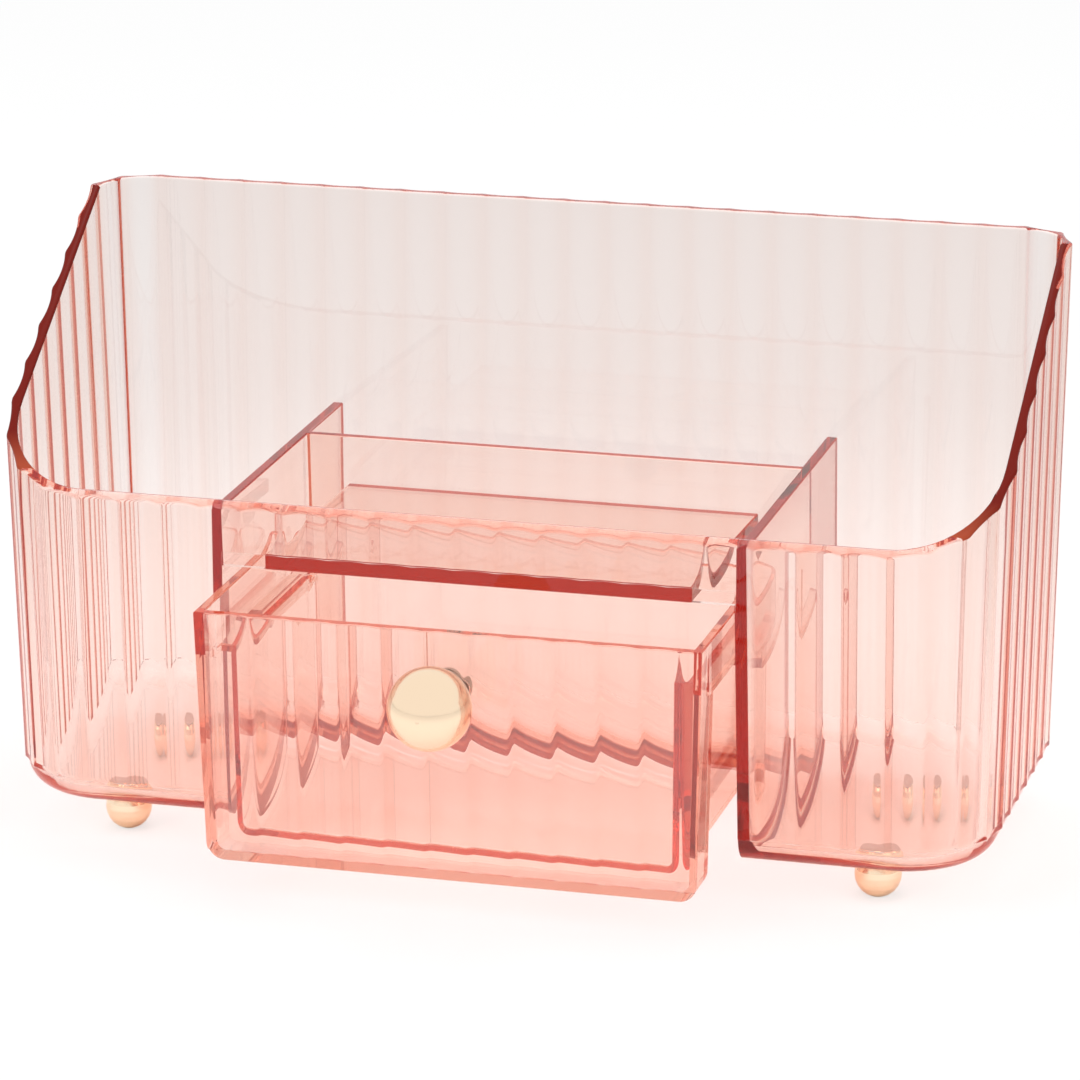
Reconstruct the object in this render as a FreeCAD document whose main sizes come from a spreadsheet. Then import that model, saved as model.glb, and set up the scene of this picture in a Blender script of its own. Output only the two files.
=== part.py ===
import FreeCAD, Part
import math
import os

import Sketcher
from FreeCAD import Vector

# Brush holder with a drawer: a clear moulded casing with two side compartments, a rear
# compartment and a shelf over a drawer, on four ball feet.
#
# Axes: X to the right, Y to the back, Z up. Every piece is modelled with Y = 0 at the front
# ridges at the height of the back rim and Z = 0 at the casing's underside. The placements
# then move all of them, so that Z = 0 is the surface the feet stand on and X = Y = 0 is the
# middle of the space the holder takes up with its drawer at rest.

BACKWARD = FreeCAD.Rotation(Vector(0, 0, 1), Vector(0, 1, 0))  # turns an upright axis to the back
FOOT_CHORDS = 8  # straight stretches in the turned profile of a foot's ball

doc = FreeCAD.newDocument("brush_holder")
sheet = doc.addObject("Spreadsheet::Sheet", "Sizes")

SIZES = (
    # casing: outer form
    ("overall_width", 230.0),
    ("overall_depth", 95.0),
    ("back_height", 123.4),
    ("front_height", 72.0),
    ("rim_run", 80.5),            # depth over which the rim rises from front to back
    ("front_corner_radius", 24.5),
    ("back_corner_radius", 13.0),
    ("wall_thickness", 2.8),      # at the ridges
    ("wall_lean", 0.0215),        # inward lean of the walls per millimetre downward
    ("flute_pitch", 9.6),
    ("flute_depth", 0.75),
    ("corner_flute_depth", 0.4),
    ("corner_ridge_drop", 0.05),  # corner ridges stand this much lower than the straight ones
    ("base_band", 6.0),           # smooth band below the flutes
    ("band_inset", 1.0),          # depth of the smooth bands behind the ridges
    ("base_rounding", 3.6),
    # casing: compartments
    ("floor_thickness", 2.4),
    ("floor_fillet", 4.5),
    ("divider_height", 72.2),
    ("divider_thickness", 2.5),
    ("divider_lean", 0.0125),     # outward lean of the dividers per millimetre downward
    ("opening_half_width", 57.6),
    ("opening_height", 59.5),
    ("bay_depth", 64.5),
    ("cross_wall_thickness", 2.0),
    # casing: shelf over the drawer and the rails that carry the drawer
    ("slot_width", 9.6),          # open slots beside the shelf
    ("shelf_thickness", 3.2),
    ("shelf_drop", 1.7),          # fall of the shelf from front to back
    ("rail_top", 44.3),
    ("rail_width", 5.1),
    ("rail_thickness", 2.2),
    ("rail_start", 14.0),
    # drawer
    ("drawer_side_gap", 1.3),
    ("drawer_top_gap", 3.1),
    ("drawer_end_gap", 0.6),
    ("drawer_setback", 0.3),      # front ridges behind the casing's front when closed
    ("drawer_front_drop", 0.4),   # front's lower edge below the casing's underside
    ("drawer_front_depth", 12.0),
    ("drawer_front_taper", 1.5),
    ("drawer_front_radius", 4.0),
    ("drawer_front_band", 2.4),
    ("drawer_wall", 2.0),
    ("drawer_front_wall", 2.8),   # at the front's ridges
    ("drawer_tray_height", 53.6),
    ("drawer_tray_taper", 1.0),
    ("drawer_tray_radius", 3.5),
    ("rail_side_gap", 1.0),
    ("rail_top_gap", 0.3),
    ("drawer_pull", 22.4),        # how far out the drawer stands at rest
    # knob
    ("knob_diameter", 18.2),
    ("knob_height", 43.0),
    ("knob_standoff", 1.8),
    ("neck_diameter", 7.0),
    ("boss_diameter", 9.0),
    ("boss_rise", 1.0),           # height of the boss behind the front's wall
    ("screw_diameter", 4.0),
    ("screw_clearance", 0.1),
    ("screw_depth", 6.0),         # length of the screw inside the knob
    ("screw_head_diameter", 8.0),
    ("screw_head_height", 2.2),
    # feet
    ("base_height", 9.0),
    ("foot_diameter", 10.4),
    ("foot_flat_diameter", 3.5),  # where a foot stands
    ("foot_side_inset", 28.6),
    ("foot_front_inset", 17.5),
    ("foot_rear_inset", 31.5),
    ("foot_pad_diameter", 9.0),
    ("foot_pad_thickness", 0.5),
    # cutting: the underside's level, the stock left for the flutes, how far tools overrun,
    # and how close two places are taken as one
    ("ground", 0.0),
    ("flute_stock", 1.0),
    ("overcut", 5.0),
    ("same_place", 0.01),
)

DERIVED = (
    ("half_width", "overall_width / 2"),
    ("rim_slope", "(back_height - front_height) / rim_run"),
    ("rim_cut_front", "-overcut"),
    ("rim_cut_back", "rim_run + overcut"),
    ("rim_cut_low", "front_height - overcut * rim_slope"),
    ("rim_cut_high", "back_height + overcut * rim_slope"),
    ("above_back", "back_height + overcut"),
    ("below_base", "-overcut"),
    # stock for the fluted walls at its foot, and the base band at the underside
    ("inset_stock", "(back_height - base_band) * wall_lean - flute_stock"),
    ("side_stock", "half_width - inset_stock"),
    ("back_stock", "overall_depth - inset_stock"),
    ("front_radius_stock", "front_corner_radius - inset_stock"),
    ("back_radius_stock", "back_corner_radius - inset_stock"),
    ("inset_band", "back_height * wall_lean + band_inset"),
    ("side_band", "half_width - inset_band"),
    ("back_band", "overall_depth - inset_band"),
    ("front_radius_band", "front_corner_radius - inset_band"),
    ("back_radius_band", "back_corner_radius - inset_band"),
    # inner faces of the walls at the floor and at the dividers' tops
    ("inset_floor", "wall_thickness + (back_height - floor_thickness) * wall_lean"),
    ("inset_divider", "wall_thickness + (back_height - divider_height) * wall_lean"),
    ("wall_x_floor", "half_width - inset_floor"),
    ("wall_x_divider", "half_width - inset_divider"),
    ("wall_back_floor", "overall_depth - inset_floor"),
    ("wall_back_divider", "overall_depth - inset_divider"),
    ("front_radius_floor", "front_corner_radius - inset_floor"),
    ("front_radius_divider", "front_corner_radius - inset_divider"),
    ("back_radius_floor", "back_corner_radius - inset_floor"),
    ("back_radius_divider", "back_corner_radius - inset_divider"),
    # dividers: inner faces on the drawer bay and outer faces on the side compartments
    ("bay_x_below", "opening_half_width + (opening_height + overcut) * divider_lean"),
    ("divider_x_divider", "opening_half_width + divider_thickness"),
    ("divider_x_floor", "divider_x_divider + (divider_height - floor_thickness) * divider_lean"),
    ("rear_x_floor", "opening_half_width - (divider_height - floor_thickness) * divider_lean"),
    ("cross_wall_back", "bay_depth + cross_wall_thickness"),
    # shelf, and the lip of the front wall under which the drawer passes
    ("shelf_half_width", "opening_half_width - slot_width"),
    ("shelf_top", "opening_height + shelf_thickness"),
    ("shelf_slope", "shelf_drop / bay_depth"),
    ("shelf_front", "-overcut"),
    ("shelf_back", "bay_depth + cross_wall_thickness / 2"),
    ("shelf_low_front", "opening_height + overcut * shelf_slope"),
    ("shelf_low_back", "opening_height - shelf_back * shelf_slope"),
    ("shelf_high_front", "shelf_low_front + shelf_thickness"),
    ("shelf_high_back", "shelf_low_back + shelf_thickness"),
    ("tray_low", "opening_height - shelf_drop - shelf_thickness"),
    ("tray_front_wall", "wall_thickness + (back_height - tray_low) * wall_lean"),
    ("lip_back", "(back_height - shelf_top) * wall_lean + band_inset"),
    ("rail_inner", "opening_half_width - rail_width"),
    ("rail_low", "rail_top - rail_thickness"),
    # drawer, closed: widths, levels and depths of its outside and its inside
    ("drawer_half_width", "opening_half_width - drawer_side_gap"),
    ("drawer_top", "opening_height - drawer_top_gap"),
    ("drawer_shoulder", "rail_top + rail_top_gap"),
    ("drawer_low", "-drawer_front_drop"),
    ("drawer_low_half_width", "drawer_half_width - drawer_front_taper"),
    ("drawer_front_back", "drawer_setback + drawer_front_depth"),
    ("drawer_end", "bay_depth - drawer_end_gap"),
    ("tray_half_width", "rail_inner - rail_side_gap"),
    ("tray_low_half_width", "tray_half_width - drawer_tray_taper"),
    ("tray_bottom", "drawer_top - drawer_tray_height"),
    ("drawer_stock_front", "drawer_setback - flute_stock"),
    ("drawer_band_front", "drawer_setback + (drawer_top - drawer_low) * wall_lean + band_inset"),
    ("hollow_top", "drawer_top + overcut"),
    ("hollow_half_width", "drawer_half_width - drawer_wall"),
    ("hollow_shoulder", "drawer_shoulder + drawer_wall"),
    ("hollow_tray_half_width", "tray_half_width - drawer_wall"),
    ("hollow_tray_low_half_width", "tray_low_half_width - drawer_wall"),
    ("hollow_tray_bottom", "tray_bottom + drawer_wall"),
    ("hollow_tray_radius", "drawer_tray_radius - drawer_wall"),
    ("hollow_front_low", "drawer_low + drawer_wall"),
    ("hollow_rise", "(drawer_top - hollow_front_low) * wall_lean"),
    ("hollow_front", "drawer_setback + drawer_front_wall + hollow_rise"),
    ("hollow_front_low_half_width", "drawer_low_half_width - drawer_wall"),
    ("hollow_front_radius", "drawer_front_radius - drawer_wall"),
    ("hollow_front_back", "drawer_front_back - drawer_wall"),
    ("hollow_end", "drawer_end - drawer_wall"),
    ("tray_front", "(hollow_front + hollow_front_back) / 2"),
    # knob and screw, with the drawer closed
    ("knob_radius", "knob_diameter / 2"),
    ("knob_centre", "drawer_setback - knob_standoff - knob_radius"),
    ("hole_diameter", "screw_diameter + 2 * screw_clearance"),
    ("screw_end", "drawer_setback - screw_depth"),
    ("knob_hole_end", "screw_end - screw_clearance"),
    ("boss_wall", "drawer_front_wall + (drawer_top - knob_height) * wall_lean + boss_rise"),
    ("boss_back", "drawer_setback + boss_wall"),
    ("screw_head_back", "boss_back + screw_head_height"),
    # feet
    ("foot_top", "base_height - foot_pad_thickness"),
    ("foot_low_turn", "asin(foot_flat_diameter / foot_diameter)"),
    ("foot_centre", "foot_diameter / 2 * cos(foot_low_turn)"),
    ("foot_high_turn", "acos((foot_centre - foot_top) / (foot_diameter / 2))"),
    ("foot_right", "half_width - foot_side_inset"),
    ("foot_left", "-foot_right"),
    # placements
    ("knob_front", "drawer_setback - drawer_pull - knob_standoff - knob_diameter"),
    ("frame_shift", "-(overall_depth + knob_front) / 2"),
    ("drawer_shift", "frame_shift - drawer_pull"),
    ("foot_front_y", "foot_front_inset + frame_shift"),
    ("foot_rear_y", "overall_depth - foot_rear_inset + frame_shift"),
)


def foot_profile():
    """Formulas for the corners of a foot's profile, evenly spaced round its ball."""
    formulas = []
    for i in range(FOOT_CHORDS + 1):
        share = "(foot_high_turn - foot_low_turn) * %d / %d" % (i, FOOT_CHORDS)
        turn = "(foot_low_turn + %s)" % share
        formulas.append(("foot_radius_%d" % i, "foot_diameter / 2 * sin%s" % turn))
        formulas.append(("foot_level_%d" % i, "foot_centre - foot_diameter / 2 * cos%s" % turn))
    return formulas


def fill_sheet():
    """Write the driving sizes as numbers and the sizes that follow from them as formulas."""
    row = 1
    for alias, number in SIZES:
        sheet.set("A%d" % row, alias)
        sheet.set("B%d" % row, str(number))
        sheet.setAlias("B%d" % row, alias)
        row += 1
    for alias, formula in DERIVED + tuple(foot_profile()):
        sheet.set("A%d" % row, alias)
        sheet.set("B%d" % row, "=" + formula)
        sheet.setAlias("B%d" % row, alias)
        row += 1
    doc.recompute()


def size(name):
    """Value of a named size; a leading minus sign gives its opposite."""
    if name.startswith("-"):
        return -float(sheet.get(name[1:]))
    return float(sheet.get(name))


def linked(name):
    """Expression that reads a named size from the sheet."""
    if name.startswith("-"):
        return "-Sizes." + name[1:]
    return "Sizes." + name


def bind(item, path, name):
    item.setExpression(path, linked(name))


# ---------------------------------------------------------------- sketches and bodies

def new_body(name):
    return doc.addObject("PartDesign::Body", name)


def new_sketch(body, name, role, level=None):
    """Sketch on one of the body's own origin planes, moved along its normal to a level."""
    sketch = body.newObject("Sketcher::SketchObject", name)
    plane = [item for item in body.Origin.OriginFeatures if item.Role == role][0]
    sketch.AttachmentSupport = [(plane, "")]
    sketch.MapMode = "FlatFace"
    if level:
        bind(sketch, "AttachmentOffset.Base.z", level)
    return sketch


def pin_point(sketch, item, spot, corner):
    """Hold a point at the two named coordinates of a corner."""
    for kind, name in (("DistanceX", corner[0]), ("DistanceY", corner[1])):
        index = sketch.addConstraint(Sketcher.Constraint(kind, -1, 1, item, spot, size(name)))
        bind(sketch, "Constraints[%d]" % index, name)


def nearer_end(sketch, item, spot):
    """Start (1) or end (2) of a sketched arc, whichever lies nearer to a spot."""
    return min((1, 2), key=lambda end: (sketch.getPoint(item, end) - spot).Length)


def draw_outline(sketch, corners):
    """Closed outline through corners (x, y) or (x, y, radius), each a named size."""
    spots = [Vector(size(across), size(up), 0) for across, up, *rounding in corners]
    radii = [rounding for across, up, *rounding in corners]
    count = len(corners)
    starts = []
    ends = []
    arcs = []
    for i in range(count):
        before = (spots[i - 1] - spots[i]).normalize()
        after = (spots[(i + 1) % count] - spots[i]).normalize()
        if not radii[i]:
            starts.append(spots[i])
            ends.append(spots[i])
            arcs.append(None)
            continue
        radius = size(radii[i][0])
        half_turn = before.getAngle(after) / 2
        reach = radius / math.tan(half_turn)
        middle = (before + after).normalize()
        centre = spots[i] + middle * (radius / math.sin(half_turn))
        first = spots[i] + before * reach
        last = spots[i] + after * reach
        nearest = centre - middle * radius
        arcs.append(Part.Arc(first, nearest, last))
        ends.append(first)
        starts.append(last)
    lines = []
    for i in range(count):
        line = Part.LineSegment(starts[i], ends[(i + 1) % count])
        lines.append(sketch.addGeometry(line, False))
    for i in range(count):
        into = lines[i - 1]
        out = lines[i]
        if arcs[i] is None:
            sketch.addConstraint(Sketcher.Constraint("Coincident", into, 2, out, 1))
            pin_point(sketch, out, 1, corners[i])
            continue
        arc = sketch.addGeometry(arcs[i], False)
        first_end = nearer_end(sketch, arc, ends[i])
        last_end = nearer_end(sketch, arc, starts[i])
        sketch.addConstraint(Sketcher.Constraint("Tangent", into, 2, arc, first_end))
        sketch.addConstraint(Sketcher.Constraint("Tangent", out, 1, arc, last_end))
        radius = radii[i][0]
        index = sketch.addConstraint(Sketcher.Constraint("Radius", arc, size(radius)))
        bind(sketch, "Constraints[%d]" % index, radius)
        tip = sketch.addGeometry(Part.Point(spots[i]), True)
        sketch.addConstraint(Sketcher.Constraint("PointOnObject", tip, 1, into))
        sketch.addConstraint(Sketcher.Constraint("PointOnObject", tip, 1, out))
        pin_point(sketch, tip, 1, corners[i])


def outline_sketch(body, name, role, corners, level=None):
    sketch = new_sketch(body, name, role, level)
    draw_outline(sketch, corners)
    return sketch


def pad_between(body, name, role, corners, near, far):
    """Prism of an outline between two named levels along the plane's own normal."""
    sketch = outline_sketch(body, name + "_outline", role, corners, near)
    pad = body.newObject("PartDesign::Pad", name)
    pad.Profile = sketch
    pad.setExpression("Length", "%s - (%s)" % (linked(far), linked(near)))
    return pad


def pad_across(body, name, corners, width):
    """Prism of a side view (depth, height), equally far to the left and to the right."""
    sketch = outline_sketch(body, name + "_outline", "YZ_Plane", corners)
    pad = body.newObject("PartDesign::Pad", name)
    pad.Profile = sketch
    pad.SideType = "Symmetric"
    pad.setExpression("Length", "2 * " + linked(width))
    return pad


def pad_back(body, name, corners, front, back):
    """Prism of a front view from one depth to a greater one."""
    sketch = outline_sketch(body, name + "_outline", "XZ_Plane", corners)
    sketch.setExpression("AttachmentOffset.Base.z", "-(%s)" % linked(front))
    pad = body.newObject("PartDesign::Pad", name)
    pad.Profile = sketch
    pad.Reversed = True
    pad.setExpression("Length", "%s - (%s)" % (linked(back), linked(front)))
    return pad


def pad_up(body, name, corners, low, high):
    """Upright prism of a plan outline between two named levels."""
    return pad_between(body, name, "XY_Plane", corners, low, high)


def lean_faces(body, name, lean, chosen):
    """Give the faces that the test picks a lean that widens the solid upward."""
    doc.recompute()
    base = body.Tip
    faces = base.Shape.Faces
    floor = base.Shape.BoundBox.ZMin
    picked = ["Face%d" % (i + 1) for i, face in enumerate(faces) if chosen(face)]
    bottom = [i for i, face in enumerate(faces) if lies_at(face, "Z", floor)][0]
    draft = body.newObject("PartDesign::Draft", name)
    draft.Base = (base, picked)
    draft.NeutralPlane = (base, ["Face%d" % (bottom + 1)])
    draft.Reversed = faces[bottom].Surface.Axis.z > 0
    draft.setExpression("Angle", "atan(%s)" % linked(lean))
    return draft


def upright(face):
    """True for a face of an upright prism that runs from its bottom to its top."""
    return face.BoundBox.ZLength > size("overcut")


def round_edges(body, name, radius, chosen):
    """Round the edges of the body's solid that the given test picks."""
    doc.recompute()
    base = body.Tip
    picked = [
        "Edge%d" % (i + 1) for i, edge in enumerate(base.Shape.Edges) if chosen(edge)
    ]
    fillet = body.newObject("PartDesign::Fillet", name)
    fillet.Base = (base, picked)
    bind(fillet, "Radius", radius)
    return fillet


def lies_at(item, axis, value):
    """True when the whole edge or face lies in the plane where the coordinate has the value."""
    low = getattr(item.BoundBox, axis + "Min")
    high = getattr(item.BoundBox, axis + "Max")
    limit = size("same_place")
    return abs(low - value) < limit and abs(high - value) < limit


def lies_at_either(item, axis, value):
    """True when the edge or face lies at the value on the right or on the left."""
    return lies_at(item, axis, value) or lies_at(item, axis, -value)


def cut(name, base, tools):
    """The base piece less all the tools."""
    tool = tools[0]
    if len(tools) > 1:
        tool = doc.addObject("Part::MultiFuse", name + "_tools")
        tool.Shapes = tools
    result = doc.addObject("Part::Cut", name)
    result.Base = base
    result.Tool = tool
    return result


def cylinder_along_depth(name, diameter, front, back, height):
    """Cylinder about an axis that runs from front to back at a named height."""
    item = doc.addObject("Part::Cylinder", name)
    item.setExpression("Radius", linked(diameter) + " / 2")
    item.setExpression("Height", "%s - (%s)" % (linked(back), linked(front)))
    item.Placement.Rotation = BACKWARD
    bind(item, "Placement.Base.y", front)
    bind(item, "Placement.Base.z", height)
    return item


# ---------------------------------------------------------------- flutes

def stretch_counts():
    """Whole numbers of flutes on the front, a side, the back and the two kinds of corner."""
    pitch = size("flute_pitch")
    front = size("front_corner_radius")
    back = size("back_corner_radius")
    lengths = {
        "front": size("overall_width") - 2 * front,
        "side": size("overall_depth") - front - back,
        "back": size("overall_width") - 2 * back,
        "front_corner": front * math.pi / 2,
        "back_corner": back * math.pi / 2,
    }
    counts = {}
    for name, length in lengths.items():
        counts[name] = max(1, round(length / pitch))
    return counts


def flute_comb(start, end, count, outward, low, high):
    """Cutter for a straight run of flutes between two ridge points, leaning with the wall.

    Its section is a row of arcs, each from ridge to ridge and dished inward, closed by a
    straight back. The section is square to the wall's lean, so that every flute is part of
    a round cylinder.
    """
    rise = outward * size("wall_lean") + Vector(0, 0, 1)
    start = start + rise * (low - start.z)
    end = end + rise * (low - end.z)
    across = end - start
    dish = across.cross(rise).normalize() * -size("flute_depth")
    step = across * (1 / count)
    edges = []
    for i in range(count):
        first = start + step * i
        edges.append(Part.Arc(first, first + step * 0.5 + dish, first + step).toShape())
    clear = dish.normalize() * -size("overcut")
    corners = (end, end + clear, start + clear, start)
    for i in range(3):
        edges.append(Part.makeLine(corners[i], corners[i + 1]))
    return Part.Face(Part.Wire(edges)).extrude(rise * (high - low))


def corner_cutters(centre, radius, first_angle, count, low, high):
    """Round cutters for the flutes of a quarter-circle corner of the casing."""
    step = math.pi / 2 / count
    half_chord = radius * math.sin(step / 2)
    depth = size("corner_flute_depth")
    cutter_radius = (half_chord**2 + depth**2) / (2 * depth)
    bottom = radius * math.cos(step / 2) - depth - size("corner_ridge_drop")
    cutters = []
    for i in range(count):
        angle = first_angle + step * (i + 0.5)
        outward = Vector(math.cos(angle), math.sin(angle), 0)
        rise = outward * size("wall_lean") + Vector(0, 0, 1)
        axis = centre + outward * (bottom + cutter_radius)
        foot = axis + rise * (low - axis.z)
        cutters.append(Part.makeCylinder(cutter_radius, (high - low) * rise.Length, foot, rise))
    return cutters


def casing_cutters():
    """All the cutters that flute the casing's walls, as one solid."""
    low = size("base_band") - size("overcut")
    high = size("above_back")
    top = size("back_height")
    counts = stretch_counts()
    side = size("half_width")
    back = size("overall_depth")
    front_radius = size("front_corner_radius")
    back_radius = size("back_corner_radius")
    x_front = side - front_radius
    x_back = side - back_radius
    y_back = back - back_radius
    runs = (
        ((-x_front, 0), (x_front, 0), "front", (0, -1)),
        ((side, front_radius), (side, y_back), "side", (1, 0)),
        ((x_back, back), (-x_back, back), "back", (0, 1)),
        ((-side, y_back), (-side, front_radius), "side", (-1, 0)),
    )
    turns = (
        ((x_front, front_radius), front_radius, "front_corner"),
        ((x_back, y_back), back_radius, "back_corner"),
        ((-x_back, y_back), back_radius, "back_corner"),
        ((-x_front, front_radius), front_radius, "front_corner"),
    )
    cutters = []
    for i in range(4):
        start, end, stretch, outward = runs[i]
        cutters.append(
            flute_comb(
                Vector(*start, top),
                Vector(*end, top),
                counts[stretch],
                Vector(*outward, 0),
                low,
                high,
            )
        )
        centre, radius, corner = turns[i]
        cutters += corner_cutters(
            Vector(*centre, top), radius, math.pi / 2 * (i - 1), counts[corner], low, high
        )
    return cutters[0].multiFuse(cutters[1:])


def drawer_cutter():
    """Cutter for the drawer's front, whose flutes line up with the casing's."""
    front_count = stretch_counts()["front"]
    pitch = (size("overall_width") - 2 * size("front_corner_radius")) / front_count
    offset = (front_count % 2) / 2
    half_count = math.ceil(size("drawer_half_width") / pitch) + 1 + offset
    half = half_count * pitch
    margin = size("overcut")
    top = size("drawer_top")
    low = size("drawer_low") + size("drawer_front_band")
    comb = flute_comb(
        Vector(-half, size("drawer_setback"), top),
        Vector(half, size("drawer_setback"), top),
        round(2 * half_count),
        Vector(0, -1, 0),
        low - margin,
        top + margin,
    )
    keep = Part.makeBox(
        2 * (half + margin),
        4 * margin,
        top + margin - low,
        Vector(-half - margin, -2 * margin, low),
    )
    return comb.common(keep)


def shaped(name, shape):
    item = doc.addObject("Part::Feature", name)
    item.Shape = shape
    return item


# ---------------------------------------------------------------- casing

def outer_plan(kind, front):
    """Outline round the casing's outside, for the fluted walls' stock or the base band."""
    side = "side_" + kind
    back = "back_" + kind
    front_radius = "front_radius_" + kind
    back_radius = "back_radius_" + kind
    return (
        ("-" + side, front, front_radius),
        (side, front, front_radius),
        (side, back, back_radius),
        ("-" + side, back, back_radius),
    )


def full_plan():
    """Inner outline of all four walls at the height of the dividers' tops."""
    return (
        ("-wall_x_divider", "inset_divider", "front_radius_divider"),
        ("wall_x_divider", "inset_divider", "front_radius_divider"),
        ("wall_x_divider", "wall_back_divider", "back_radius_divider"),
        ("-wall_x_divider", "wall_back_divider", "back_radius_divider"),
    )


def side_plan(hand):
    """Outline of a side compartment at its floor; hand is an empty text or a minus sign."""
    return (
        (hand + "wall_x_floor", "inset_floor", "front_radius_floor"),
        (hand + "wall_x_floor", "wall_back_floor", "back_radius_floor"),
        (hand + "divider_x_floor", "wall_back_floor"),
        (hand + "divider_x_floor", "inset_floor"),
    )


def block_plan(side, front, back):
    return (
        ("-" + side, front),
        (side, front),
        (side, back),
        ("-" + side, back),
    )


def make_casing():
    walls = new_body("wall_block")
    pad_up(walls, "wall_prism", outer_plan("stock", "inset_stock"), "base_band", "back_height")
    lean_faces(walls, "wall_block_lean", "wall_lean", upright)
    fluted = cut("fluted_walls", walls, [shaped("flute_cutters", casing_cutters())])

    band = new_body("base_band_block")
    pad_up(band, "band_prism", outer_plan("band", "inset_band"), "ground", "base_band")
    lean_faces(
        band, "band_lean", "wall_lean", lambda face: face.BoundBox.ZLength > size("base_band") / 2
    )
    round_edges(band, "band_rounding", "base_rounding", lambda edge: lies_at(edge, "Z", 0))

    form = doc.addObject("Part::Fuse", "casing_form")
    form.Base = fluted
    form.Tool = band

    rim_cut = new_body("rim_cut")
    pad_across(
        rim_cut,
        "rim_wedge",
        (
            ("rim_cut_front", "rim_cut_low"),
            ("rim_cut_back", "rim_cut_high"),
            ("rim_cut_front", "rim_cut_high"),
        ),
        "overall_width",
    )

    upper = new_body("upper_space")
    pad_up(upper, "upper_core", full_plan(), "divider_height", "above_back")
    lean_faces(upper, "upper_lean", "wall_lean", upright)

    floor = size("floor_thickness")
    divider = size("divider_x_floor")
    sides = []
    for label, hand in (("left", "-"), ("right", "")):
        body = new_body(label + "_space")
        pad_up(body, label + "_core", side_plan(hand), "floor_thickness", "above_back")
        lean_faces(
            body,
            label + "_wall_lean",
            "wall_lean",
            lambda face: upright(face) and not lies_at_either(face, "X", divider),
        )
        lean_faces(
            body,
            label + "_divider_lean",
            "divider_lean",
            lambda face: lies_at_either(face, "X", divider),
        )
        round_edges(
            body, label + "_floor", "floor_fillet", lambda edge: lies_at(edge, "Z", floor)
        )
        sides.append(body)

    rear = new_body("rear_space")
    pad_up(
        rear,
        "rear_core",
        block_plan("rear_x_floor", "cross_wall_back", "wall_back_floor"),
        "floor_thickness",
        "above_back",
    )
    rear_wall = size("wall_back_floor")
    rear_side = size("rear_x_floor")
    lean_faces(rear, "rear_wall_lean", "wall_lean", lambda face: lies_at(face, "Y", rear_wall))
    lean_faces(
        rear,
        "rear_side_lean",
        "divider_lean",
        lambda face: lies_at_either(face, "X", rear_side),
    )
    round_edges(rear, "rear_floor", "floor_fillet", lambda edge: lies_at(edge, "Z", floor))

    tray = new_body("tray_space")
    pad_up(
        tray,
        "tray_core",
        block_plan("opening_half_width", "tray_front_wall", "bay_depth"),
        "tray_low",
        "above_back",
    )
    tray_wall = size("tray_front_wall")
    tray_side = size("opening_half_width")
    lean_faces(tray, "tray_wall_lean", "wall_lean", lambda face: lies_at(face, "Y", tray_wall))
    lean_faces(
        tray,
        "tray_side_lean",
        "divider_lean",
        lambda face: lies_at_either(face, "X", tray_side),
    )

    bay = new_body("drawer_bay")
    pad_back(
        bay,
        "bay_core",
        (
            ("-bay_x_below", "below_base"),
            ("bay_x_below", "below_base"),
            ("opening_half_width", "opening_height"),
            ("-opening_half_width", "opening_height"),
        ),
        "below_base",
        "bay_depth",
    )

    shelf = new_body("shelf")
    pad_across(
        shelf,
        "shelf_slab",
        (
            ("shelf_front", "shelf_low_front"),
            ("shelf_back", "shelf_low_back"),
            ("shelf_back", "shelf_high_back"),
            ("shelf_front", "shelf_high_front"),
        ),
        "shelf_half_width",
    )

    rails = []
    for label, place in (("left", "-bay_x_below"), ("right", "rail_inner")):
        rail = doc.addObject("Part::Box", label + "_rail")
        rail.setExpression("Length", "Sizes.bay_x_below - Sizes.rail_inner")
        rail.setExpression("Width", "Sizes.cross_wall_back - Sizes.rail_start")
        bind(rail, "Height", "rail_thickness")
        bind(rail, "Placement.Base.x", place)
        bind(rail, "Placement.Base.y", "rail_start")
        bind(rail, "Placement.Base.z", "rail_low")
        rails.append(rail)

    lip = doc.addObject("Part::Box", "front_lip")
    lip.setExpression("Length", "2 * Sizes.opening_half_width")
    lip.setExpression("Width", "Sizes.lip_back + Sizes.overcut")
    lip.setExpression("Height", "Sizes.shelf_thickness + Sizes.overcut")
    bind(lip, "Placement.Base.x", "-opening_half_width")
    bind(lip, "Placement.Base.y", "below_base")
    lip.setExpression("Placement.Base.z", "Sizes.opening_height - Sizes.overcut")

    spaces = cut("drawer_space", bay, [shelf] + rails)
    shelf_space = cut("shelf_space", tray, [shelf])
    return cut(
        "casing",
        form,
        [rim_cut, upper, rear, spaces, shelf_space, lip] + sides,
    )


# ---------------------------------------------------------------- drawer

def drawer_levels(half_width, low_half_width, low, high, radius):
    """Front view of a drawer part that narrows to rounded lower corners."""
    return (
        ("-" + half_width, high),
        ("-" + low_half_width, low, radius),
        (low_half_width, low, radius),
        (half_width, high),
    )


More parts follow.
